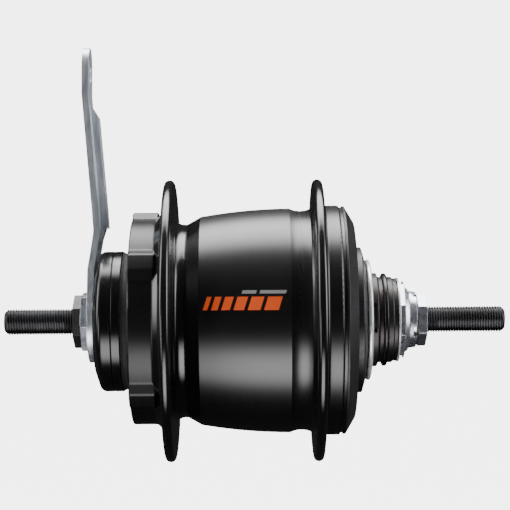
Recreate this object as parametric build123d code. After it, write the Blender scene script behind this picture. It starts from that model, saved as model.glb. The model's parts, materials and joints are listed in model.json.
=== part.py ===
"""Geared bicycle hub with a coaster brake, as an assembly of separate parts.

The frame is the hub's own: +X runs along the axle towards the sprocket, +Z is up, and the
origin lies on the axle midway between the faces of the two locknuts. All sizes are in mm.
The gear train stands in its fourth gear, with every tooth pair in mesh.
"""
import os
from math import acos, cos, degrees, hypot, pi, radians, sin, tan

from build123d import *

# ---------------------------------------------------------------- driving dimensions
AXLE_LEFT_END = -90.8
AXLE_RIGHT_END = 94.2
AXLE_R = 9.525 / 2          # 3/8 in thread, major radius
AXLE_SEAT_R = 4.55          # thread core, where nuts and cones are screwed on
AXLE_FLAT_HALF = 4.415      # half the size across the two flats
AXLE_FLAT_ANGLE = 17.7      # degrees from +Y to the flats' normal, about +X
AXLE_CORE_R = 6.0           # thick middle that carries the sun gears
LOCKNUT_FACE = 65.0         # half the over-locknut distance
HEX_17_R = 17.0 / 3 ** 0.5  # corner radius of a hexagon 17 across its flats

FLANGE_OD = 104.2
SPOKE_PCD = 92.6
SPOKES_PER_FLANGE = 18
SPOKE_HOLE_R = 1.45
LEFT_FLANGE_X = -29.2
RIGHT_FLANGE_X = 25.05
FLANGE_TIP = 3.45           # thickness of the flange at its full-round rim
DRUM_R = 38.15
DRUM_PAD_R = 40.2
DRUM_PADS = (90.0, 147.3, 223.5, 316.5, 32.7)   # their middles, degrees from +Y about +X
DRUM_PAD_TOP = 4.65         # half the angle of a pad's top
DRUM_PAD_FOOT = 10.05       # half the angle of its foot
BARREL_LEFT_R = 38.55
BARREL_RIGHT_R = 41.45
NECK_R = 35.65
RIGHT_DRUM_R = 42.4
SHELL_LEFT = -42.9
SHELL_RIGHT = 33.9

COVER_R = 25.9              # brake cover
COVER_FACE = -56.7
CONE_NECK_R = 7.2           # threaded neck of the brake cone, through the cover, arm and nut
ARM_THICKNESS = 2.5
ARM_TOP = 101.4
ARM_BASE_R = 15.2
ARM_TOP_R = 7.6
ARM_HOLE_Z = 92.0
ARM_HOLE_R = 3.3
RIB_HEIGHT = 2.6

CENTRE_DISTANCE = 19.95     # sun to planet, both stages
PLANETS = 3
PRESSURE = radians(25)
ADDENDUM = 0.9
DEDENDUM = 1.15
FLANK_GAP = 0.1             # free space on each side of a tooth in mesh
RING_TEETH = 60
RING_PLANET_TEETH = 18
HIGH_SUNS = (18, 24, 27)
HIGH_STEPS = (24, 17, 13)
LOW_SUN = 33
LOW_STEP = 11
HIGH_SPANS = ((-16.6, -12.2), (-11.4, -7.0), (-6.2, -1.8))
HIGH_RING_SPAN = (0.2, 7.0)
LOW_SPAN = (13.0, 18.4)
LOW_RING_SPAN = (20.4, 27.6)
LOCKED_SUN_SPANS = (HIGH_SPANS[-1], LOW_SPAN)
PIN_R = 2.5
RUN = 0.05                  # radial clearance of a running fit
PUSH = 0.02                 # radial clearance of a part that is fixed on its seat

BRAKE_SHOES = 3
SHOE_TRAVEL = 0.5
SELECTOR_R = 5.7            # gear selector's tube
CAM_TURN = 20.0             # degrees of cam turn for the whole shoe travel
CAM_R = 18.2
ROLLER_R = 2.2
CARRIER_HIGH_PLATES = ((-19.6, -17.4), (7.8, 10.0))
CARRIER_LOW_PLATES = ((10.05, 12.2), (28.4, 30.4))
CLUTCH_ROLLERS = 12
CLUTCH_ROLLER_R = 1.75
CLUTCH_PITCH_R = 33.55
BEARINGS = {
    "left": (-41.1, 21.05, 3.175, 15),
    "right": (38.2, 21.5, 2.38, 21),
    "driver": (50.9, 10.3, 2.1, 11),
}
FIRST_SHOE_ANGLE = 90.0     # degrees from +Y about +X


# ---------------------------------------------------------------- shape helpers
def rounded_outline(points):
    """Closed wire in the XZ plane through (x, r) points.

    A third value is the corner's radius, or "arc" where an arc passes through the point.
    """
    edges = []
    count = len(points)
    joints = []
    for i, point in enumerate(points):
        here = Vector(point[0], 0, point[1])
        radius = point[2] if len(point) > 2 else 0
        if not radius or radius == "arc":
            joints.append((here, None, here))
            continue
        before = points[i - 1]
        after = points[(i + 1) % count]
        back = (Vector(before[0], 0, before[1]) - here).normalized()
        ahead = (Vector(after[0], 0, after[1]) - here).normalized()
        half = acos(max(-1, min(1, back.dot(ahead)))) / 2
        reach = radius / tan(half)
        middle = (back + ahead).normalized()
        crown = here + middle * (radius / sin(half) - radius)
        joints.append((here + back * reach, crown, here + ahead * reach))
    for i, (start, crown, end) in enumerate(joints):
        if crown is not None:
            edges.append(ThreePointArc(start, crown, end))
        if points[i][-1] == "arc":
            continue
        ahead = (i + 1) % count
        following = joints[ahead][0]
        if points[ahead][-1] == "arc":
            edges.append(ThreePointArc(end, following, joints[(ahead + 1) % count][0]))
        elif (following - end).length > 1e-6:
            edges.append(Line(end, following))
    return Wire(edges)


def turned(points):
    """Solid of revolution about the axle."""
    return revolve(Face(rounded_outline(points)), Axis.X, 360)


def tube(left, right, outer, inner=0.0):
    """Plain round sleeve or disc on the axle's line."""
    blank = Plane.YZ.offset(left) * Circle(outer)
    solid = extrude(blank, right - left)
    if inner:
        hole = Plane.YZ.offset(left - 1) * Circle(inner)
        solid -= extrude(hole, right - left + 2)
    return solid


def rod(left, right, radius, distance, angle):
    """Round bar parallel to the axle, at a distance and an angle about it."""
    place = Plane.YZ.offset(left) * Pos(distance * cos(angle), distance * sin(angle))
    return extrude(place * Circle(radius), right - left)


def prism(left, right, outline):
    """Straight bar of a closed (y, z) outline."""
    face = make_face(Plane.YZ.offset(left) * Polyline(*outline, close=True))
    return extrude(face, right - left)


def around(solid, count, start=0.0):
    """Copies of a solid, evenly spaced about the axle."""
    return [Rot(start + 360 * i / count, 0, 0) * solid for i in range(count)]


def joined(solids):
    total = solids[0]
    for extra in solids[1:]:
        total += extra
    return total


def group(solids):
    return Compound(children=list(solids))


def hexagon(left, right, corner_r, bore, turn, bevel):
    """Hexagonal nut on the axle with its corners bevelled off at both faces."""
    blank = Plane.YZ.offset(left) * RegularPolygon(corner_r, 6, rotation=turn)
    nut = extrude(blank, right - left)
    nut &= turned([(left, 0), (left, corner_r - bevel), (left + bevel / 2, corner_r),
                   (right - bevel / 2, corner_r), (right, corner_r - bevel), (right, 0)])
    return nut - tube(left - 1, right + 1, bore)


# ---------------------------------------------------------------- gear teeth
def involute(angle):
    return tan(angle) - angle


def toothed_outline(teeth, module, inner, outer, gap, phase):
    """Closed outline of involute teeth between two radii, one tooth centred on the phase."""
    pitch_r = teeth * module / 2
    base_r = pitch_r * cos(PRESSURE)
    half_pitch = (pi * module / 2 + gap) / (2 * pitch_r)
    start = max(inner, base_r)
    steps = 5
    flank = []
    for i in range(steps):
        radius = start + (outer - start) * i / (steps - 1)
        half = half_pitch + involute(PRESSURE) - involute(acos(base_r / radius))
        flank.append((radius, half))
    if inner < base_r:
        flank.insert(0, (inner, flank[0][1]))
    points = []
    for tooth in range(teeth):
        centre = phase + 2 * pi * tooth / teeth
        for radius, half in flank:
            points.append((radius * cos(centre - half), radius * sin(centre - half)))
        for radius, half in reversed(flank):
            points.append((radius * cos(centre + half), radius * sin(centre + half)))
    return points


def spur(left, right, teeth, module, phase=0.0):
    """External gear blank, without its bore."""
    pitch_r = teeth * module / 2
    outline = toothed_outline(teeth, module, pitch_r - DEDENDUM * module,
                              pitch_r + ADDENDUM * module, -FLANK_GAP, phase)
    return prism(left, right, outline)


def ring_teeth(left, right):
    """Cutter for the inside teeth of a ring gear, one tooth space centred on each planet."""
    module = ring_module()
    pitch_r = RING_TEETH * module / 2
    outline = toothed_outline(RING_TEETH, module, pitch_r - ADDENDUM * module,
                              pitch_r + DEDENDUM * module, FLANK_GAP, radians(90))
    return prism(left, right, outline)


def ring_module():
    return 2 * CENTRE_DISTANCE / (RING_TEETH - RING_PLANET_TEETH)


def pair_module(sun, step):
    return 2 * CENTRE_DISTANCE / (sun + step)


def sun_phase(sun, step):
    """Angle of a sun tooth that meshes with a planet whose tooth points straight outwards."""
    into_tooth = -step / 2 - 0.5
    return radians(90) - into_tooth * 2 * pi / sun


def planet_places():
    return [radians(90) + 2 * pi * i / PLANETS for i in range(PLANETS)]


# ---------------------------------------------------------------- axle and locknuts
def make_axle():
    chamfer_x = 1.3
    chamfer_r = 3.9
    core_left = -34.0
    core_right = 29.0
    axle = turned([(AXLE_LEFT_END, 0), (AXLE_LEFT_END, chamfer_r), (AXLE_LEFT_END + chamfer_x, AXLE_R),
                   (-LOCKNUT_FACE, AXLE_R), (-LOCKNUT_FACE, AXLE_SEAT_R),
                   (core_left, AXLE_SEAT_R), (core_left, AXLE_CORE_R), (core_right, AXLE_CORE_R),
                   (core_right, AXLE_SEAT_R), (LOCKNUT_FACE, AXLE_SEAT_R), (LOCKNUT_FACE, AXLE_R),
                   (AXLE_RIGHT_END - chamfer_x, AXLE_R), (AXLE_RIGHT_END, chamfer_r), (AXLE_RIGHT_END, 0)])
    left_flat_end = -68.2
    right_flat_start = 69.5
    for start, end in ((AXLE_LEFT_END - 1, left_flat_end), (right_flat_start, AXLE_RIGHT_END + 1)):
        length = end - start
        for side in (0, 180):
            cutter = Pos((start + end) / 2, AXLE_FLAT_HALF + 5, 0) * Box(length, 10, 20)
            axle -= Rot(AXLE_FLAT_ANGLE + side, 0, 0) * cutter
    for span in LOCKED_SUN_SPANS:
        axle -= pawl_block(span, 0.1)
    return axle


def pawl_block(span, room):
    """Pawl that stands across the gap between the axle and a locked sun gear."""
    inset = 0.8 - room
    low = 4.9 - room
    high = 6.9 + room
    width = 1.6 + 2 * room
    return Pos((span[0] + span[1]) / 2, 0, (low + high) / 2) * Box(span[1] - span[0] - 2 * inset, width, high - low)


def make_sun_pawls():
    return group(pawl_block(span, 0.0) for span in LOCKED_SUN_SPANS)


def make_locknut(left, right):
    """Hexagonal locknut, its bore countersunk at both faces."""
    bore = AXLE_SEAT_R + PUSH
    mouth = AXLE_R + 0.45
    nut = hexagon(left, right, HEX_17_R, bore, 90, 0.45)
    for face, inward in ((left, 1), (right, -1)):
        nut -= turned([(face, 0), (face, mouth), (face + inward * (mouth - bore), bore), (face + inward, 0)])
    return nut


# ---------------------------------------------------------------- brake arm and brake cover
def arm_line():
    """Middle line of the bent arm, as (x, z) points from its foot to its top."""
    base = COVER_FACE - ARM_THICKNESS / 2
    return [(base, -ARM_BASE_R - 1), (base, 19.5), (-55.75, 33), (-56.3, 41), (-59.9, 84), (-59.7, ARM_TOP + 1)]


def beside(line, distance):
    """Points of a line shifted sideways, towards +X for a positive distance."""
    shifted = []
    for i, (x, z) in enumerate(line):
        x0, z0 = line[max(i - 1, 0)]
        x1, z1 = line[min(i + 1, len(line) - 1)]
        run = hypot(x1 - x0, z1 - z0)
        shifted.append((x + distance * (z1 - z0) / run, z - distance * (x1 - x0) / run))
    return shifted


def bent_sheet(line, left, right, depth):
    """Sheet that follows a bent line between two offsets from it, extruded along Y."""
    bend = 12.0
    outline = []
    for side in (beside(line, left), list(reversed(beside(line, right)))):
        for i, (x, z) in enumerate(side):
            inner = 0 < i < len(side) - 1
            outline.append((x, z, bend) if inner else (x, z))
    face = Face(rounded_outline(outline))
    return extrude(face, depth, both=True)


def arm_outline():
    """Front outline of the arm: a round foot about the axle, tapering to a round top."""
    shoulder_z = 24.0
    shoulder_half = 9.2
    top_centre = ARM_TOP - ARM_TOP_R
    foot = Plane.YZ.offset(-70) * Circle(ARM_BASE_R)
    blade = Plane.YZ.offset(-70) * make_face(Polyline(
        (-ARM_BASE_R, 0), (-shoulder_half, shoulder_z), (-ARM_TOP_R, top_centre),
        (ARM_TOP_R, top_centre), (shoulder_half, shoulder_z), (ARM_BASE_R, 0), close=True))
    tip = Plane.YZ.offset(-70) * Pos(0, top_centre) * Circle(ARM_TOP_R)
    reach = 20.0
    blank = extrude(foot, reach) + extrude(blade, reach) + extrude(tip, reach)
    return blank


def make_brake_arm():
    line = arm_line()
    half = ARM_THICKNESS / 2
    arm = bent_sheet(line, -half, half, 20) & arm_outline()
    rib_half = 3.6
    rib_low = 29.5
    rib_high = 80.0
    ramp = 5.0
    rib_sheet = bent_sheet(line, 0, half + RIB_HEIGHT, rib_half)
    side = [(-70, rib_low - 3), (-70, rib_high + 2), (-58.2, rib_high), (-55.0, rib_high - ramp),
            (-50, rib_high - ramp), (-50, rib_low + ramp), (-53.0, rib_low + ramp), (-54.6, rib_low)]
    rib_window = extrude(Face(rounded_outline(side)), 20, both=True)
    arm += rib_sheet & rib_window
    arm -= rod(-70, -50, ARM_HOLE_R, ARM_HOLE_Z, radians(90))
    arm -= tube(-70, -50, CONE_NECK_R + PUSH)
    return arm


def make_brake_arm_nut():
    corner_r = 11.5
    return hexagon(-62.0, COVER_FACE - ARM_THICKNESS, corner_r, CONE_NECK_R + PUSH, 8.7, 0.5)


def make_brake_cover():
    """Dished steel cover, open towards the shell."""
    wall = 1.8
    rim = -46.4
    outer = [(COVER_FACE, 9.3), (COVER_FACE, 19.5, 4.0), (-54.5, COVER_R, 2.2),
             (-50.0, COVER_R), (-49.7, COVER_R - 0.25), (-49.4, COVER_R), (rim, COVER_R, 0.4)]
    inner = [(rim, COVER_R - wall), (-53.2, COVER_R - wall, 1.0), (-54.9, 18.9, 1.0), (-54.9, 9.3)]
    return turned(outer + inner)


def make_brake_seal():
    return turned([(-46.3, 24.0), (-46.3, 25.6), (-45.4, 25.2), (-43.3, 25.4, 0.3), (-43.2, 24.7), (-44.9, 24.0)])


def make_cone_left():
    """Brake cone: threaded neck, seat for the cover, ball race and anchor seat."""
    return turned([(-62.0, AXLE_SEAT_R + PUSH), (-62.0, 6.9), (-61.7, CONE_NECK_R), (COVER_FACE, CONE_NECK_R),
                   (COVER_FACE, 9.28), (-54.8, 9.28), (-54.8, 14.0), (-52.0, 16.0), (-46.4, 20.2),
                   (-44.4, 20.2), (-44.4, 17.7), (-38.0, 17.7), (-38.0, AXLE_SEAT_R + PUSH)])


# ---------------------------------------------------------------- coaster brake
def make_brake_anchor():
    """Fixed plate whose three keys hold the shoes from turning."""
    left = -37.9
    plate_right = -35.5
    key_right = -33.4
    plate = tube(left, plate_right, 27.0, AXLE_SEAT_R + PUSH)
    key = Pos((left + key_right) / 2, 25.0, 0) * Box(key_right - left, 4.0, 6.0)
    return joined([plate] + around(key, BRAKE_SHOES, 90))


def make_brake_liner():
    return tube(-38.8, -22.0, 32.95, 31.2)


def make_brake_shoe(index):
    """One third of the brake ring, with a slot for its key and a pocket for its roller."""
    left = -35.2
    right = -22.8
    half_span = radians(53)
    inner = 20.3
    outer = 30.5
    shoe = tube(left, right, outer, inner)
    reach = 60.0
    wedge = prism(left - 1, right + 1, [(0, 0), (reach * cos(half_span), -reach * sin(half_span)),
                                        (reach * cos(half_span), reach * sin(half_span))])
    shoe &= wedge
    shoe -= Pos(left, 25.5, 0) * Box(4.2, 6.4, 6.2)
    shoe -= rod(left - 1, right + 1, ROLLER_R + 0.1, roller_distance(), 0)
    spring_groove = tube(-25.0, -23.6, outer + 1, 27.9)
    shoe -= spring_groove
    return Rot(FIRST_SHOE_ANGLE + 360 * index / BRAKE_SHOES, 0, 0) * shoe


def roller_distance():
    return CAM_R + 0.12 + ROLLER_R


def make_brake_roller(index):
    angle = radians(FIRST_SHOE_ANGLE + 360 * index / BRAKE_SHOES)
    return rod(-33.2, -23.4, ROLLER_R, roller_distance(), angle)


def make_brake_cam():
    """Three spiral ramps; a turn of the cam lifts all rollers by the same amount."""
    rise = SHOE_TRAVEL / radians(CAM_TURN)
    steps = 12
    span = 2 * pi / BRAKE_SHOES
    outline = []
    for lobe in range(BRAKE_SHOES):
        middle = radians(FIRST_SHOE_ANGLE) + lobe * span
        for i in range(steps + 1):
            turn = span * (i / steps - 0.5) * 0.98
            radius = CAM_R - rise * turn
            outline.append((radius * cos(middle + turn), radius * sin(middle + turn)))
    cam = prism(-34.8, -22.2, outline)
    return cam - tube(-36, -20, AXLE_CORE_R + RUN)


def make_shoe_spring():
    """Split ring in the shoes' groove that draws them back."""
    ring = tube(-24.9, -23.7, 29.8, 28.6)
    gap = Pos(-24.3, 29.2, 0) * Box(3, 4, 5)
    return ring - Rot(150, 0, 0) * gap


# ---------------------------------------------------------------- hub shell
def flange_rim(centre):
    """Outline of a spoke flange's full-round rim, from its left side to its right side."""
    rim = FLANGE_OD / 2
    half = FLANGE_TIP / 2
    roundness = 0.97 * half
    return [(centre - half, rim, roundness), (centre + half, rim, roundness)]


def shell_outline():
    wall_left = SHELL_LEFT + 0.8
    outer = [(wall_left, 27.4), (wall_left, DRUM_R - 1.2), (-34.9, DRUM_R - 1.2), (-34.9, DRUM_R), (-34.2, DRUM_R, 1.2)]
    outer += [(-31.6, 40.3, 1.8)] + flange_rim(LEFT_FLANGE_X) + [(-27.2, NECK_R + 0.25, 3.2)]
    outer += [(-22.9, NECK_R, 1.5), (-17.8, BARREL_LEFT_R, 0.5)]
    outer += [(-3.6, 40.5, "arc"), (14.6, BARREL_RIGHT_R), (19.3, 40.5, "arc"), (22.0, 41.1)]
    outer += [(23.0, 42.0, 1.2)] + flange_rim(RIGHT_FLANGE_X) + [(27.1, RIGHT_DRUM_R, 1.2)]
    outer += [(32.6, RIGHT_DRUM_R, 0.6), (33.0, 41.6), (SHELL_RIGHT, 41.6)]
    inner = [(SHELL_RIGHT, 38.4), (16.5, 38.4), (16.5, 35.7), (-17.0, 35.7), (-19.0, 33.0),
             (-39.6, 33.0), (-39.6, 27.4)]
    return outer + inner


def at_angle(radius, angle):
    return (radius * cos(radians(angle)), radius * sin(radians(angle)))


def drum_section():
    """Cross-section of the brake drum: a circle with sloping-sided raised pads, all blended."""
    section = Sketch() + Circle(DRUM_R)
    top_corners = []
    foot_corners = []
    for middle in DRUM_PADS:
        corners = []
        for side in (-1, 1):
            foot = Vector(*at_angle(DRUM_R, middle + side * DRUM_PAD_FOOT))
            top = Vector(*at_angle(DRUM_PAD_R, middle + side * DRUM_PAD_TOP))
            slope = top - foot
            foot_corners.append(foot)
            top_corners.append(top)
            ends = [foot - slope * 0.6, top + slope * 0.6]
            corners += ends if side < 0 else reversed(ends)
        wedge = make_face(Polyline(*[(p.X, p.Y) for p in corners], close=True))
        section += wedge & Circle(DRUM_PAD_R)
    blends = ((top_corners, 2.0), (foot_corners, 2.6))
    for places, radius in blends:
        sharp = [v for v in section.vertices() if min((Vector(*v) - p).length for p in places) < 0.05]
        section = fillet(sharp, radius)
    return section


def make_drum():
    """Padded brake drum, with both its rims rounded off."""
    right = -33.4
    edge_round = 0.6
    drum = extrude(Plane.YZ.offset(SHELL_LEFT) * drum_section(), right - SHELL_LEFT)
    rims = drum.faces().sort_by(Axis.X)
    drum = fillet(rims[0].edges() + rims[-1].edges(), edge_round)
    return drum - tube(SHELL_LEFT - 1, -39.6, 27.4) - tube(-39.7, right + 1, 33.0)


def make_hub_shell():
    shell = turned(shell_outline()) + make_drum()
    hole = rod(-4, 4, SPOKE_HOLE_R, SPOKE_PCD / 2, 0)
    pitch = 360 / SPOKES_PER_FLANGE
    for i in range(SPOKES_PER_FLANGE):
        shell -= Pos(LEFT_FLANGE_X, 0, 0) * Rot(90 + pitch * i, 0, 0) * hole
        shell -= Pos(RIGHT_FLANGE_X, 0, 0) * Rot(90 + pitch * (i + 0.5), 0, 0) * hole
    return shell


def make_ball_cup_left():
    return turned([(-42.5, 24.4), (-42.5, 27.38), (-38.2, 27.38), (-38.2, 24.4)])


def make_ball_cup_right():
    """Screwed-in end cap with the driver-side ball race."""
    return turned([(27.6, 33.0), (27.6, 38.38), (SHELL_RIGHT, 38.38), (SHELL_RIGHT, 42.15, 0.3),
                   (34.8, 42.15, 0.3), (38.2, 36.4, 0.4), (38.4, 26.9), (41.0, 26.9, 0.4), (42.3, 22.3, 0.3),
                   (42.3, 20.6), (41.0, 20.6), (41.0, 24.05), (34.3, 24.05), (34.3, 33.0)])


# ---------------------------------------------------------------- gear train


def make_sun(number):
    left, right = HIGH_SPANS[number]
    sun = HIGH_SUNS[number]
    step = HIGH_STEPS[number]
    fixed = number == len(HIGH_SUNS) - 1
    bore = AXLE_CORE_R + (PUSH if fixed else RUN)
    gear = spur(left, right, sun, pair_module(sun, step), sun_phase(sun, step))
    gear -= tube(left - 1, right + 1, bore)
    if fixed:
        gear -= pawl_block((left, right), 0.1)
    return gear


def make_low_sun():
    left, right = LOW_SPAN
    gear = spur(left, right, LOW_SUN, pair_module(LOW_SUN, LOW_STEP), sun_phase(LOW_SUN, LOW_STEP))
    gear -= tube(left - 1, right + 1, AXLE_CORE_R + PUSH)
    return gear - pawl_block(LOW_SPAN, 0.1)


def stepped_planet(steps, index):
    """Planet of several gears on one hub; steps is a list of (span, teeth, module)."""
    hub_r = 3.8
    first = min(span[0] for span, teeth, module in steps) - 0.4
    last = max(span[1] for span, teeth, module in steps) + 0.4
    body = tube(first, last, hub_r)
    for (left, right), teeth, module in steps:
        body += spur(left, right, teeth, module)
    body -= tube(first - 1, last + 1, PIN_R + RUN)
    angle = degrees(planet_places()[index])
    return Rot(angle, 0, 0) * Pos(0, CENTRE_DISTANCE, 0) * body


def make_high_planet(index):
    steps = [(span, step, pair_module(sun, step)) for span, sun, step in zip(HIGH_SPANS, HIGH_SUNS, HIGH_STEPS)]
    steps.append((HIGH_RING_SPAN, RING_PLANET_TEETH, ring_module()))
    return stepped_planet(steps, index)


def make_low_planet(index):
    steps = [(LOW_SPAN, LOW_STEP, pair_module(LOW_SUN, LOW_STEP))]
    steps.append((LOW_RING_SPAN, RING_PLANET_TEETH, ring_module()))
    return stepped_planet(steps, index)


def make_carrier(left_plate, right_plate, bore):
    """Two plates joined by three legs that pass between the planets."""
    plate_r = 25.2
    leg_r = 3.0
    leg_distance = 21.8
    parts = [tube(left_plate[0], left_plate[1], plate_r, bore)]
    parts.append(tube(right_plate[0], right_plate[1], plate_r, bore))
    for angle in planet_places():
        parts.append(rod(left_plate[0], right_plate[1], leg_r, leg_distance, angle + pi / PLANETS))
    carrier = joined(parts)
    for angle in planet_places():
        carrier -= rod(left_plate[0] - 1, right_plate[1] + 1, PIN_R + PUSH, CENTRE_DISTANCE, angle)
    return carrier




def make_pins(plates):
    left = plates[0][0]
    right = plates[1][1]
    return group(rod(left, right, PIN_R, CENTRE_DISTANCE, angle) for angle in planet_places())


def make_high_ring():
    left, right = -0.2, 7.4
    return tube(left, right, 31.4) - ring_teeth(left - 1, right + 1)




def make_clutch_cage():
    cage = tube(0.2, 7.0, 34.7, 32.4)
    for i in range(CLUTCH_ROLLERS):
        cage -= rod(1.0, 6.2, CLUTCH_ROLLER_R + 0.1, CLUTCH_PITCH_R, 2 * pi * i / CLUTCH_ROLLERS)
    return cage


def make_clutch_rollers():
    return group(rod(1.1, 6.1, CLUTCH_ROLLER_R, CLUTCH_PITCH_R, 2 * pi * i / CLUTCH_ROLLERS)
                 for i in range(CLUTCH_ROLLERS))


# ---------------------------------------------------------------- driver side
def make_low_ring():
    """Ring gear with the web that takes it to the driver."""
    left, right = 20.0, 28.2
    web_left, web_right = 31.2, 33.4
    rim = tube(left, web_right, 31.6) - ring_teeth(left - 1, right)
    rim -= tube(right - 0.01, web_left, 29.8)
    rim -= tube(web_left - 1, web_right + 1, 17.52)
    return rim


def make_driver():
    """Sprocket carrier: inner race, splined nose with a groove for the snap ring."""
    driver = turned([(31.2, 12.0), (31.2, 17.5), (34.6, 17.5), (34.6, 20.4), (35.7, 20.4), (35.7, 19.0),
                     (40.7, 19.0), (40.7, 19.6), (42.6, 19.6), (42.6, 16.9), (44.5, 16.9), (44.5, 17.3, 0.3),
                     (46.7, 17.3, 0.5), (47.2, 15.85, 0.2), (48.5, 15.85), (48.5, 15.3), (50.5, 15.3),
                     (50.5, 15.85), (52.3, 15.85, 0.4), (52.5, 15.3), (54.0, 15.3, 0.4), (54.0, 12.6),
                     (47.6, 12.6), (47.6, 9.0), (34.0, 9.0), (34.0, 12.0)])
    slot_top = 22.0
    slot_width = 36.0
    slot_left = 46.0
    slot_right = 51.4
    slot_depth = 1.4
    reach = 30.0
    steps = 4
    outline = []
    for i in range(steps + 1):
        angle = radians(180 - slot_top + slot_width * i / steps)
        outline.append(((15.85 - slot_depth) * cos(angle), (15.85 - slot_depth) * sin(angle)))
    for i in range(steps, -1, -1):
        angle = radians(180 - slot_top + slot_width * i / steps)
        outline.append((reach * cos(angle), reach * sin(angle)))
    slot = prism(slot_left, slot_right, outline)
    for cutter in around(slot, 3):
        driver -= cutter
    return driver


def make_driver_dust_ring():
    return turned([(42.75, 16.92), (42.75, 21.9), (43.2, 22.3, 0.3), (44.1, 22.3, 0.6), (44.5, 20.6, 0.4),
                   (44.3, 17.9), (44.3, 16.92)])


def make_snap_ring():
    """Split ring that keeps the sprocket on; its gap faces away below."""
    ring = turned([(48.6, 15.35), (48.6, 17.2, 0.8), (50.4, 17.2, 0.8), (50.4, 15.35)])
    gap = Pos(49.5, 0, -17.0) * Box(4, 5.0, 5)
    return ring - Rot(-25, 0, 0) * gap


def make_driver_washer():
    return turned([(54.05, 12.7), (54.05, 15.3), (54.3, 15.6, 0.2), (54.8, 15.5, 0.2), (54.8, 12.7)])


def make_cone_right():
    """Driver-side cone: ball race inside, faceted flange and tapered shoulder outside."""
    bore = SELECTOR_R + 0.1
    cone = turned([(45.4, bore), (45.4, 7.6), (48.8, 7.6), (48.8, 8.0), (53.4, 8.0), (53.4, 10.6), (54.95, 10.6),
                   (54.95, 14.3), (56.6, 14.3), (56.9, 12.4), (58.2, 11.4), (58.45, 10.8), (58.45, bore)])
    facets = 8
    flange = Plane.YZ.offset(54.9) * RegularPolygon(14.2, facets, rotation=22.5)
    flange_bar = extrude(flange, 1.75)
    outside = tube(40, 54.92, 30) + flange_bar + tube(56.6, 60, 30)
    return cone & outside


def make_selector_sleeve():
    """Gear selector: a tube on the axle with the toothed collar that the cable pulley turns."""
    bore = AXLE_SEAT_R + RUN
    collar_left = 58.65
    collar_right = 61.15
    sleeve = turned([(29.4, bore), (29.4, SELECTOR_R), (collar_left, SELECTOR_R), (collar_left, 10.6),
                     (collar_right, 10.25), (collar_right, bore)])
    notch = Pos(collar_right, 9.6, 0) * Box(2.6, 3.4, 3.6)
    for cutter in around(notch, 4, 25):
        sleeve -= cutter
    return sleeve


def make_spacer_washer():
    return tube(61.25, 61.7, 9.2, AXLE_SEAT_R + PUSH)


# ---------------------------------------------------------------- ball bearings


def make_balls(name):
    x, pitch_r, ball_r, count = BEARINGS[name]
    ball = Pos(x, pitch_r, 0) * Sphere(ball_r)
    return group(around(ball, count))


def make_retainer(name):
    """Cage ring with a round radial window for each ball, open on the side away from its rim."""
    x, pitch_r, ball_r, count = BEARINGS[name]
    rim = x - 1.3 * ball_r
    prongs = x + 0.4 * ball_r
    cage = tube(rim, prongs, pitch_r + 0.5 * ball_r, pitch_r - 0.15 * ball_r)
    window = Pos(x, 0, pitch_r) * Cylinder(ball_r + 0.1, 3 * ball_r)
    for cutter in around(Rot(-90, 0, 0) * window, count):
        cage -= cutter
    return cage


# ---------------------------------------------------------------- all the parts
def all_parts():
    parts = {
        "axle": make_axle(),
        "locknut_left": make_locknut(-LOCKNUT_FACE, -62.0),
        "locknut_right": make_locknut(61.7, LOCKNUT_FACE),
        "brake_arm": make_brake_arm(),
        "brake_arm_nut": make_brake_arm_nut(),
        "brake_cover": make_brake_cover(),
        "brake_seal": make_brake_seal(),
        "cone_left": make_cone_left(),
        "brake_anchor": make_brake_anchor(),
        "brake_liner": make_brake_liner(),
        "brake_cam": make_brake_cam(),
        "shoe_spring": make_shoe_spring(),
        "hub_shell": make_hub_shell(),
        "ball_cup_left": make_ball_cup_left(),
        "ball_cup_right": make_ball_cup_right(),
        "sun_gear_first": make_sun(0),
        "sun_gear_second": make_sun(1),
        "sun_gear_third": make_sun(2),
        "sun_gear_low": make_low_sun(),
        "sun_pawls": make_sun_pawls(),
        "carrier_high": make_carrier(*CARRIER_HIGH_PLATES, AXLE_CORE_R + RUN),
        "carrier_low": make_carrier(*CARRIER_LOW_PLATES, AXLE_CORE_R + RUN),
        "planet_pins_high": make_pins(CARRIER_HIGH_PLATES),
        "planet_pins_low": make_pins(CARRIER_LOW_PLATES),
        "ring_gear_high": make_high_ring(),
        "ring_gear_low": make_low_ring(),
        "clutch_cage": make_clutch_cage(),
        "clutch_rollers": make_clutch_rollers(),
        "driver": make_driver(),
        "driver_dust_ring": make_driver_dust_ring(),
        "snap_ring": make_snap_ring(),
        "driver_washer": make_driver_washer(),
        "cone_right": make_cone_right(),
        "selector_sleeve": make_selector_sleeve(),
        "spacer_washer": make_spacer_washer(),
    }
    for index in range(BRAKE_SHOES):
        parts[f"brake_shoe_{index + 1}"] = make_brake_shoe(index)
        parts[f"brake_roller_{index + 1}"] = make_brake_roller(index)
    for index in range(PLANETS):
        parts[f"planet_high_{index + 1}"] = make_high_planet(index)
        parts[f"planet_low_{index + 1}"] = make_low_planet(index)
    for name in BEARINGS:
        parts[f"balls_{name}"] = make_balls(name)
        parts[f"ball_retainer_{name}"] = make_retainer(name)
    return parts


def main():
    os.makedirs("parts", exist_ok=True)
    for name, solid in all_parts().items():
        export_step(solid, f"parts/{name}.step")


main()
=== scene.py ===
"""Looks of a geared bicycle hub with a coaster brake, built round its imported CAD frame."""
import json
from math import cos, pi, radians, sin

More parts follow.
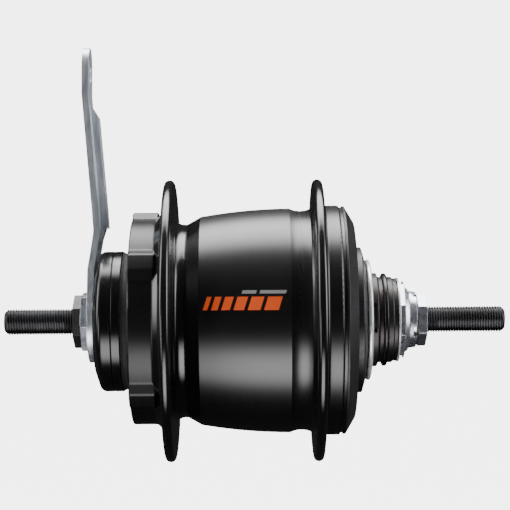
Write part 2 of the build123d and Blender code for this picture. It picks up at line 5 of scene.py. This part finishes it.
import bpy
from mathutils import Euler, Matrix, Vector


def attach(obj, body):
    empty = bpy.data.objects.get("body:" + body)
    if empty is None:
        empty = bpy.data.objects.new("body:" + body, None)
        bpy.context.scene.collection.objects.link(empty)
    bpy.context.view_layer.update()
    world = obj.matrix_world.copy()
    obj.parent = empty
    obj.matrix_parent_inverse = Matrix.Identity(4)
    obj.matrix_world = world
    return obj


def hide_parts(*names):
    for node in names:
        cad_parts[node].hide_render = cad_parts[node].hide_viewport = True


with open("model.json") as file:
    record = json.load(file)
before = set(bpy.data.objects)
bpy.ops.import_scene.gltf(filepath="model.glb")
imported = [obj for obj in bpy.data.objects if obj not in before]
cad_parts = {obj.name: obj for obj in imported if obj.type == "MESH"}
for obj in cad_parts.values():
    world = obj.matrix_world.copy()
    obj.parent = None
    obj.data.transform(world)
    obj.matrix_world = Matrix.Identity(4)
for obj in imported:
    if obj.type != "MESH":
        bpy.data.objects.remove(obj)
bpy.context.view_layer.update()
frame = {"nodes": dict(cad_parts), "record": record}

MM = 0.001

# ---------------------------------------------------------------- camera and light
VIEW_WIDTH = 189.3 * MM         # width of the view at the axle's distance
CAMERA_DISTANCE = 585 * MM
CAMERA_X = 1.0 * MM
CAMERA_Z = 15.0 * MM
VIEW_CENTRE_X = 2.0 * MM
VIEW_CENTRE_Z = 24.3 * MM
CAMERA_ROLL = radians(0.40)     # the right end of the axle stands a little higher
SENSOR = 36.0

FLOOR_Z = -0.4                  # metres, as are the sizes below
FLOOR_HALF = 6.0
BACKDROP_RADIUS = 8.0
BACKDROP_ROWS = 12
BACKDROP_COLUMNS = 32
WHITE = (1, 1, 1, 1)
WHITE_GLOW = 5.0                # emission at which the backdrop looks pale
FADE_CORE = 0.2                 # share of a softbox that glows evenly


def make_camera():
    data = bpy.data.cameras.new("camera")
    camera = bpy.data.objects.new("camera", data)
    bpy.context.scene.collection.objects.link(camera)
    camera.location = (CAMERA_X, -CAMERA_DISTANCE, CAMERA_Z)
    camera.rotation_euler = Euler((pi / 2, CAMERA_ROLL, 0), "XYZ")
    data.sensor_width = SENSOR
    data.lens = SENSOR * CAMERA_DISTANCE / VIEW_WIDTH
    data.shift_x = (VIEW_CENTRE_X - CAMERA_X) / VIEW_WIDTH
    data.shift_y = (VIEW_CENTRE_Z - CAMERA_Z) / VIEW_WIDTH
    data.clip_start = 0.01
    data.clip_end = 50
    bpy.context.scene.camera = camera


def fade_to_edges(data):
    """Softbox glow: even in the middle, fading out towards all four edges."""
    data.use_nodes = True
    tree = data.node_tree
    tree.nodes.clear()
    glow = tree.nodes.new("ShaderNodeEmission")
    output = tree.nodes.new("ShaderNodeOutputLight")
    tree.links.new(glow.outputs[0], output.inputs[0])
    place = tree.nodes.new("ShaderNodeNewGeometry").outputs["Parametric"]
    split = tree.nodes.new("ShaderNodeSeparateXYZ")
    tree.links.new(place, split.inputs[0])
    factors = []
    for axis in ("X", "Y"):
        offset = tree.nodes.new("ShaderNodeMath")
        offset.operation = "SUBTRACT"
        offset.inputs[1].default_value = 0.5
        tree.links.new(split.outputs[axis], offset.inputs[0])
        distance = tree.nodes.new("ShaderNodeMath")
        distance.operation = "ABSOLUTE"
        tree.links.new(offset.outputs[0], distance.inputs[0])
        fade = tree.nodes.new("ShaderNodeMapRange")
        fade.interpolation_type = "SMOOTHSTEP"
        fade.inputs["From Min"].default_value = FADE_CORE * 0.5
        fade.inputs["From Max"].default_value = 0.5
        fade.inputs["To Min"].default_value = 1.0
        fade.inputs["To Max"].default_value = 0.0
        tree.links.new(distance.outputs[0], fade.inputs["Value"])
        factors.append(fade.outputs["Result"])
    both = tree.nodes.new("ShaderNodeMath")
    both.operation = "MULTIPLY"
    tree.links.new(factors[0], both.inputs[0])
    tree.links.new(factors[1], both.inputs[1])
    tree.links.new(both.outputs[0], glow.inputs["Strength"])


def make_softbox(name, centre, size, power):
    """Rectangular area light that faces the hub; size is (width, height) in metres."""
    data = bpy.data.lights.new(name, "AREA")
    data.shape = "RECTANGLE"
    data.size, data.size_y = size
    data.energy = power
    fade_to_edges(data)
    light = bpy.data.objects.new(name, data)
    bpy.context.scene.collection.objects.link(light)
    light.location = centre
    light.rotation_euler = (-Vector(centre)).to_track_quat("-Z", "Y").to_euler()


def on_arc(elevation, distance):
    """Place in the plane across the axle; 0 is at the camera, 90 overhead, 180 behind."""
    angle = radians(elevation)
    return (0, -distance * cos(angle), distance * sin(angle))


def make_lights():
    make_softbox("top_box", on_arc(104, 0.75), (1.6, 0.84), 58)
    make_softbox("low_box", on_arc(-46, 0.7), (0.9, 0.74), 15)
    make_softbox("left_card", (-0.8, -0.10, 0.36), (0.7, 1.2), 16)
    make_softbox("right_card", (0.8, -0.16, 0.28), (0.7, 1.2), 20)
    make_softbox("front_card", (-0.55, -0.42, -0.10), (0.22, 0.5), 2.6)


def make_stage_piece(name, points, faces, material):
    """Piece of the stage that throws no light on the hub and isn't mirrored in it."""
    mesh = bpy.data.meshes.new(name)
    mesh.from_pydata(points, [], faces)
    mesh.materials.append(material)
    piece = bpy.data.objects.new(name, mesh)
    bpy.context.scene.collection.objects.link(piece)
    piece.visible_diffuse = False
    piece.visible_glossy = False
    return piece


def make_floor():
    material = bpy.data.materials.new("floor_white")
    material.use_nodes = True
    shader = material.node_tree.nodes["Principled BSDF"]
    shader.inputs["Base Color"].default_value = (0.9, 0.9, 0.9, 1)
    shader.inputs["Roughness"].default_value = 0.9
    shader.inputs["Emission Color"].default_value = WHITE
    shader.inputs["Emission Strength"].default_value = WHITE_GLOW
    half = FLOOR_HALF
    corners = [(-half, -half, FLOOR_Z), (half, -half, FLOOR_Z), (half, half, FLOOR_Z), (-half, half, FLOOR_Z)]
    floor = make_stage_piece("floor", corners, [(0, 1, 2, 3)], material)


def make_backdrop():
    """Pale dome all round the hub."""
    white = bpy.data.materials.new("backdrop_white")
    white.use_nodes = True
    nodes = white.node_tree.nodes
    nodes.clear()
    glow = nodes.new("ShaderNodeEmission")
    glow.inputs["Color"].default_value = WHITE
    glow.inputs["Strength"].default_value = WHITE_GLOW
    output = nodes.new("ShaderNodeOutputMaterial")
    white.node_tree.links.new(glow.outputs[0], output.inputs[0])
    points = []
    for row in range(BACKDROP_ROWS + 1):
        lift = pi * (row / BACKDROP_ROWS - 0.5)
        ring = BACKDROP_RADIUS * cos(lift)
        for column in range(BACKDROP_COLUMNS):
            turn = 2 * pi * column / BACKDROP_COLUMNS
            points.append((ring * cos(turn), ring * sin(turn), BACKDROP_RADIUS * sin(lift)))
    backdrop = make_stage_piece("backdrop", points, lofted_faces(BACKDROP_ROWS, BACKDROP_COLUMNS), white)
    backdrop.visible_transmission = False
    backdrop.visible_shadow = False


def lofted_faces(rows, columns):
    """Quads between closed rings of points, one ring more than there are rows."""
    faces = []
    for row in range(rows):
        start = row * columns
        for column in range(columns):
            after = (column + 1) % columns
            faces.append((start + column, start + after, start + columns + after, start + columns + column))
    return faces


def make_world():
    world = bpy.data.worlds.new("studio")
    world.use_nodes = True
    world.node_tree.nodes["Background"].inputs["Color"].default_value = (0.02, 0.02, 0.022, 1)
    world.node_tree.nodes["Background"].inputs["Strength"].default_value = 1.0
    bpy.context.scene.world = world


# ---------------------------------------------------------------- materials
EVEN = (1, 1, 1)
SHARP_EDGE = radians(28)        # smooth shading stops at edges sharper than this


class Shader:
    """A node material with a few shorthands for building it."""

    def __init__(self, name):
        self.material = bpy.data.materials.new(name)
        self.material.use_nodes = True
        self.tree = self.material.node_tree
        self.surface = self.tree.nodes["Principled BSDF"]
        self.place = self.tree.nodes.new("ShaderNodeTexCoord").outputs["Object"]

    def fixed(self, **values):
        for name, value in values.items():
            self.surface.inputs[name.replace("_", " ")].default_value = value

    def link(self, output, name):
        self.tree.links.new(output, self.surface.inputs[name])

    def noise(self, scale, detail=3.0, stretch=EVEN):
        mapping = self.tree.nodes.new("ShaderNodeMapping")
        mapping.inputs["Scale"].default_value = stretch
        self.tree.links.new(self.place, mapping.inputs["Vector"])
        node = self.tree.nodes.new("ShaderNodeTexNoise")
        node.inputs["Scale"].default_value = scale
        node.inputs["Detail"].default_value = detail
        self.tree.links.new(mapping.outputs[0], node.inputs["Vector"])
        return node.outputs["Fac"]

    def spread(self, value, low, high, start=0.3, end=0.7):
        """Stretch the range from start to end over the range from low to high."""
        node = self.tree.nodes.new("ShaderNodeMapRange")
        node.inputs["From Min"].default_value = start
        node.inputs["From Max"].default_value = end
        node.inputs["To Min"].default_value = low
        node.inputs["To Max"].default_value = high
        self.tree.links.new(value, node.inputs["Value"])
        return node.outputs["Result"]

    def colours(self, value, stops):
        """Colour ramp; stops are (position, colour) pairs."""
        node = self.tree.nodes.new("ShaderNodeValToRGB")
        ramp = node.color_ramp
        while len(ramp.elements) < len(stops):
            ramp.elements.new(0.5)
        for element, (position, colour) in zip(ramp.elements, stops):
            element.position = position
            element.color = (*colour, 1)
        self.tree.links.new(value, node.inputs["Fac"])
        return node.outputs["Color"]

    def bump(self, height, distance, strength, edge=0.0):
        """Fine relief; edge is the radius that sharp corners seem to have."""
        node = self.tree.nodes.new("ShaderNodeBump")
        if edge:
            corner = self.tree.nodes.new("ShaderNodeBevel")
            corner.samples = 6
            corner.inputs["Radius"].default_value = edge
            self.tree.links.new(corner.outputs[0], node.inputs["Normal"])
        node.inputs["Distance"].default_value = distance
        node.inputs["Strength"].default_value = strength
        self.tree.links.new(height, node.inputs["Height"])
        self.link(node.outputs["Normal"], "Normal")

    def math(self, operation, first, second=None):
        """Output of a math node; each input is a number or another node's output."""
        node = self.tree.nodes.new("ShaderNodeMath")
        node.operation = operation
        for socket, value in zip(node.inputs, (first, second)):
            if isinstance(value, (int, float)):
                socket.default_value = value
            elif value is not None:
                self.tree.links.new(value, socket)
        return node.outputs[0]

    def parts(self):
        """X, the distance from the axle, and Z."""
        split = self.tree.nodes.new("ShaderNodeSeparateXYZ")
        self.tree.links.new(self.place, split.inputs[0])
        squares = [self.math("POWER", split.outputs[axis], 2.0) for axis in "YZ"]
        radius = self.math("SQRT", self.math("ADD", squares[0], squares[1]))
        return split.outputs["X"], radius, split.outputs["Z"]

    def turning_marks(self, scale, detail=3.0):
        """Fine rings round the axle, as a lathe leaves them."""
        along, radius, height = self.parts()
        place = self.tree.nodes.new("ShaderNodeCombineXYZ")
        self.tree.links.new(along, place.inputs["X"])
        self.tree.links.new(radius, place.inputs["Y"])
        self.tree.links.new(self.math("MULTIPLY", height, 0.01), place.inputs["Z"])
        node = self.tree.nodes.new("ShaderNodeTexNoise")
        node.inputs["Scale"].default_value = scale
        node.inputs["Detail"].default_value = detail
        self.tree.links.new(place.outputs[0], node.inputs["Vector"])
        return node.outputs["Fac"]

    def steps_along(self, start, end, stops):
        """Value that changes in short blends along X; stops are (x, value) pairs."""
        along = self.parts()[0]
        position = self.spread(along, 0.0, 1.0, start, end)
        node = self.tree.nodes.new("ShaderNodeValToRGB")
        ramp = node.color_ramp
        while len(ramp.elements) < len(stops):
            ramp.elements.new(0.5)
        for element, (x, value) in zip(ramp.elements, stops):
            element.position = (x - start) / (end - start)
            element.color = (value, value, value, 1)
        self.tree.links.new(position, node.inputs["Fac"])
        return node.outputs["Color"]


SHELL_FROM = -0.045             # where the shell's zones along X start and end, in metres
SHELL_TO = 0.035


def shell_material():
    """Black paint: satin on the turned barrel and drums, glossy on the flanges and the neck.

    Each zone is (x, roughness), and x is in metres.
    """
    look = Shader("shell_black")
    look.fixed(Metallic=0.0, IOR=1.5)
    drum = 0.3
    paint = 0.62
    shine = [(SHELL_FROM, drum), (-0.0342, drum), (-0.0334, paint), (SHELL_TO, paint)]
    look.link(look.steps_along(SHELL_FROM, SHELL_TO, shine), "Specular IOR Level")
    satin = 0.30
    barrel_end = 0.24
    gloss = 0.13
    zones = [(SHELL_FROM, satin), (-0.0342, satin), (-0.0334, gloss), (-0.0182, gloss), (-0.0178, satin),
             (0.0150, satin), (0.0215, barrel_end), (0.0226, gloss), (0.0274, gloss), (0.0280, satin),
             (SHELL_TO, satin)]
    base = look.steps_along(SHELL_FROM, SHELL_TO, zones)
    marks = look.spread(look.turning_marks(1400), -0.014, 0.014)
    look.link(look.math("ADD", base, marks), "Roughness")
    tone = look.noise(35, 4)
    blacks = [(0.3, (0.0085, 0.0085, 0.009)), (0.7, (0.0125, 0.0125, 0.013))]
    look.link(look.colours(tone, blacks), "Base Color")
    look.bump(look.noise(1100, 2), 0.00001, 0.2)
    return look.material


def plain_material(name, dark, light, metal, rough, grain_scale=400, bump=0.00001, edge=0.0, stretch=EVEN):
    """Mottled base between two colours, with fine grain in roughness and relief."""
    look = Shader(name)
    look.fixed(Metallic=metal)
    tone = look.noise(60 if stretch == EVEN else grain_scale * 0.5, 4, stretch)
    look.link(look.colours(tone, [(0.3, dark), (0.7, light)]), "Base Color")
    grain = look.noise(grain_scale, 3, stretch)
    look.link(look.spread(grain, rough[0], rough[1]), "Roughness")
    look.bump(grain, bump, 0.4, edge)
    return look.material


# Name: dark tone, light tone, metallic, range of roughness, and other settings.
PLAIN_MATERIALS = {
    "cap_dark": ((0.018, 0.018, 0.019), (0.028, 0.028, 0.03), 0.2, (0.36, 0.46), {"edge": 0.0002}),
    "cover_black": ((0.007, 0.007, 0.0075), (0.011, 0.011, 0.0115), 0.0, (0.16, 0.22), {}),
    "driver_black": ((0.03, 0.027, 0.026), (0.045, 0.041, 0.039), 0.6, (0.34, 0.46), {"edge": 0.0001}),
    "snap_black": ((0.012, 0.012, 0.013), (0.022, 0.022, 0.023), 0.5, (0.2, 0.3), {"edge": 0.0001}),
    "zinc": ((0.62, 0.65, 0.72), (0.74, 0.77, 0.83), 0.88, (0.24, 0.34), {"bump": 0.000002, "edge": 0.0002}),
    "zinc_arm": ((0.50, 0.54, 0.62), (0.86, 0.90, 0.95), 0.66, (0.28, 0.44),
                 {"grain_scale": 1100, "bump": 0.000005, "edge": 0.0003, "stretch": (1, 1, 0.12)}),
    "nickel": ((0.86, 0.87, 0.88), (0.92, 0.92, 0.93), 0.45, (0.2, 0.28), {"bump": 0.000001}),
    "axle_black": ((0.03, 0.03, 0.032), (0.06, 0.06, 0.063), 0.8, (0.35, 0.5), {}),
    "locknut_dark": ((0.05, 0.047, 0.045), (0.08, 0.075, 0.072), 0.7, (0.4, 0.52), {"edge": 0.0003}),
    "gear_steel": ((0.42, 0.41, 0.39), (0.55, 0.54, 0.52), 1.0, (0.25, 0.4), {}),
    "ball_steel": ((0.75, 0.75, 0.76), (0.82, 0.82, 0.83), 1.0, (0.06, 0.12), {}),
    "cage_steel": ((0.4, 0.4, 0.39), (0.5, 0.5, 0.49), 1.0, (0.3, 0.45), {}),
    "brake_steel": ((0.25, 0.23, 0.2), (0.36, 0.33, 0.3), 0.9, (0.35, 0.55), {}),
    "print_orange": ((0.95, 0.115, 0.022), (1.0, 0.14, 0.03), 0.0, (0.3, 0.4), {}),
    "print_grey": ((0.26, 0.26, 0.27), (0.34, 0.34, 0.35), 0.0, (0.35, 0.45), {}),
    "seal_rubber": ((0.012, 0.012, 0.012), (0.02, 0.02, 0.02), 0.0, (0.6, 0.75), {}),
}


def make_materials():
    materials = {"shell_black": shell_material()}
    for name, (dark, light, metal, rough, others) in PLAIN_MATERIALS.items():
        materials[name] = plain_material(name, dark, light, metal, rough, **others)
    return materials


def dress_nodes():
    """Give every CAD node the material of its slot, and smooth shading between sharp edges."""
    slots = {part["node"]: part["material_slot"] for part in frame["record"]["subparts"]}
    for name, node in frame["nodes"].items():
        node.data.materials.clear()
        node.data.materials.append(materials[slots[name]])
        for polygon in node.data.polygons:
            polygon.use_smooth = True
        edges = node.modifiers.new("edges", "EDGE_SPLIT")
        edges.split_angle = SHARP_EDGE


# ---------------------------------------------------------------- threaded axle
# All sizes in mm.
AXLE_ENDS = (-90.8, 94.2)
AXLE_R = 4.7625
FLAT_HALF = 4.415
FLAT_ANGLE = radians(17.7)      # from +Y to the flats' normal, about +X
FLAT_RUNS = (-68.2, 69.5)       # where the flats run out
FLAT_RUN_OUT = 0.8              # rise of a flat for each mm past its end
LOCKNUT_FACE = 65.0
THREAD_PITCH = 25.4 / 26
THREAD_DEPTH = 0.56
CREST_CUT = (1.25, 0.06)        # slope and offset that leave narrow flats at crest and root
END_CHAMFER = 1.3
CORE = (-34.0, 29.0, 6.0)       # thick middle: from, to, radius
SEAT_R = 4.55
STEP_GAP = 0.01                 # from a step to the ring of points on each side of it
AXLE_SEGMENTS = 72
RINGS_PER_PITCH = 9


def axle_radius(x, angle):
    """Radius of the axle's surface, in mm, before the flats are cut."""
    if abs(x) < LOCKNUT_FACE:
        return CORE[2] if CORE[0] < x < CORE[1] else SEAT_R
    phase = (x / THREAD_PITCH - angle / (2 * pi)) % 1.0
    wave = abs(2 * phase - 1)                   # 0 at the root, 1 at the crest
    height = min(1.0, max(0.0, wave * CREST_CUT[0] - CREST_CUT[1]))
    radius = AXLE_R - THREAD_DEPTH * (1 - height)
    to_end = min(x - AXLE_ENDS[0], AXLE_ENDS[1] - x)
    cone = AXLE_R - END_CHAMFER + to_end
    return min(radius, cone)


def axle_rings():
    """X of every ring of points, close together where there is a thread."""
    step = THREAD_PITCH / RINGS_PER_PITCH
    places = []
    x = AXLE_ENDS[0]
    while x < -LOCKNUT_FACE:
        places.append(x)
        x += step
    places.append(STEP_GAP - LOCKNUT_FACE)
    for end in CORE[:2]:
        places += [end - STEP_GAP, end + STEP_GAP]
    places.append(LOCKNUT_FACE - STEP_GAP)
    x = LOCKNUT_FACE + STEP_GAP
    while x < AXLE_ENDS[1]:
        places.append(x)
        x += step
    places.append(AXLE_ENDS[1])
    return places


def cut_flats(x, y, z):
    """Move a point that lies outside the two flats onto them."""
    across = y * cos(FLAT_ANGLE) + z * sin(FLAT_ANGLE)
    run_out = max(0.0, x - FLAT_RUNS[0]) if x < 0 else max(0.0, FLAT_RUNS[1] - x)
    limit = FLAT_HALF + FLAT_RUN_OUT * run_out
    if abs(across) > limit:
        excess = across - limit * (1 if across > 0 else -1)
        y -= excess * cos(FLAT_ANGLE)
        z -= excess * sin(FLAT_ANGLE)
    return y, z


def make_axle():
    """Axle with a helical thread, in place of the plain one."""
    places = axle_rings()
    points = []
    for x in places:
        for i in range(AXLE_SEGMENTS):
            angle = 2 * pi * i / AXLE_SEGMENTS
            radius = axle_radius(x, angle)
            y, z = cut_flats(x, radius * cos(angle), radius * sin(angle))
            points.append((x * MM, y * MM, z * MM))
    faces = lofted_faces(len(places) - 1, AXLE_SEGMENTS)
    faces.append(tuple(range(AXLE_SEGMENTS)))
    last = (len(places) - 1) * AXLE_SEGMENTS
    faces.append(tuple(last + i for i in reversed(range(AXLE_SEGMENTS))))
    mesh = bpy.data.meshes.new("axle_threaded")
    mesh.from_pydata(points, [], faces)
    mesh.materials.append(materials["axle_black"])
    for polygon in mesh.polygons:
        polygon.use_smooth = len(polygon.vertices) == 4
    axle = bpy.data.objects.new("axle_threaded", mesh)
    bpy.context.scene.collection.objects.link(axle)
    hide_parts("axle")
    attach(axle, "fixed")


# ---------------------------------------------------------------- printed mark on the barrel
# All sizes in mm. The barrel's outline is an arc through three (x, radius) points.
BARREL_ARC = ((-17.8, 38.55), (-3.6, 40.5), (14.6, 41.45))
PRINT_PROUD = 0.08              # stands clear of the barrel's facets
PRINT_SLANT = 0.32              # shift along X for each mm of height
ORANGE_FROM = -16.3
ORANGE_WIDTHS = (1.6, 2.3, 3.0, 3.7, 4.4, 5.1)
ORANGE_GAP = 1.25
ORANGE_HEIGHT = (4.6, 9.3)
GREY_RUNS = ((-2.8, 2.2), (3.4, 12.6))
GREY_HEIGHT = (10.3, 11.5)
BAR_COLUMNS = 10
BAR_ROWS = 8


def circle_through(first, second, third):
    """Centre and radius of the circle through three points."""
    (ax, ay), (bx, by), (cx, cy) = first, second, third
    twice = 2 * (ax * (by - cy) + bx * (cy - ay) + cx * (ay - by))
    a2, b2, c2 = ax * ax + ay * ay, bx * bx + by * by, cx * cx + cy * cy
    x = (a2 * (by - cy) + b2 * (cy - ay) + c2 * (ay - by)) / twice
    y = (a2 * (cx - bx) + b2 * (ax - cx) + c2 * (bx - ax)) / twice
    return x, y, ((ax - x) ** 2 + (ay - y) ** 2) ** 0.5


def barrel_radius(x):
    middle_x, middle_r, radius = circle_through(*BARREL_ARC)
    return middle_r + (radius ** 2 - (x - middle_x) ** 2) ** 0.5


def make_bars(name, material, bars):
    """Slanted printed bars wrapped on the barrel's front; each bar is (x0, x1, z0, z1)."""
    points, faces = [], []
    for x0, x1, z0, z1 in bars:
        start = len(points)
        for row in range(BAR_ROWS + 1):
            z = z0 + (z1 - z0) * row / BAR_ROWS
            for column in range(BAR_COLUMNS + 1):
                x = x0 + (x1 - x0) * column / BAR_COLUMNS + PRINT_SLANT * (z - z0)
                radius = barrel_radius(x) + PRINT_PROUD
                points.append((x * MM, -(radius ** 2 - z ** 2) ** 0.5 * MM, z * MM))
        for row in range(BAR_ROWS):
            for column in range(BAR_COLUMNS):
                corner = start + row * (BAR_COLUMNS + 1) + column
                above = corner + BAR_COLUMNS + 1
                faces.append((corner, corner + 1, above + 1, above))
    mesh = bpy.data.meshes.new(name)
    mesh.from_pydata(points, [], faces)
    for polygon in mesh.polygons:
        polygon.use_smooth = True
    mesh.materials.append(materials[material])
    mark = bpy.data.objects.new(name, mesh)
    bpy.context.scene.collection.objects.link(mark)
    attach(mark, "shell")


def make_mark():
    orange = []
    x = ORANGE_FROM
    for width in ORANGE_WIDTHS:
        orange.append((x, x + width, *ORANGE_HEIGHT))
        x += width + ORANGE_GAP
    make_bars("mark_orange", "print_orange", orange)
    make_bars("mark_grey", "print_grey", [(*run, *GREY_HEIGHT) for run in GREY_RUNS])


make_camera()
make_lights()
make_floor()
make_backdrop()
make_world()
materials = make_materials()
dress_nodes()
make_axle()
make_mark()
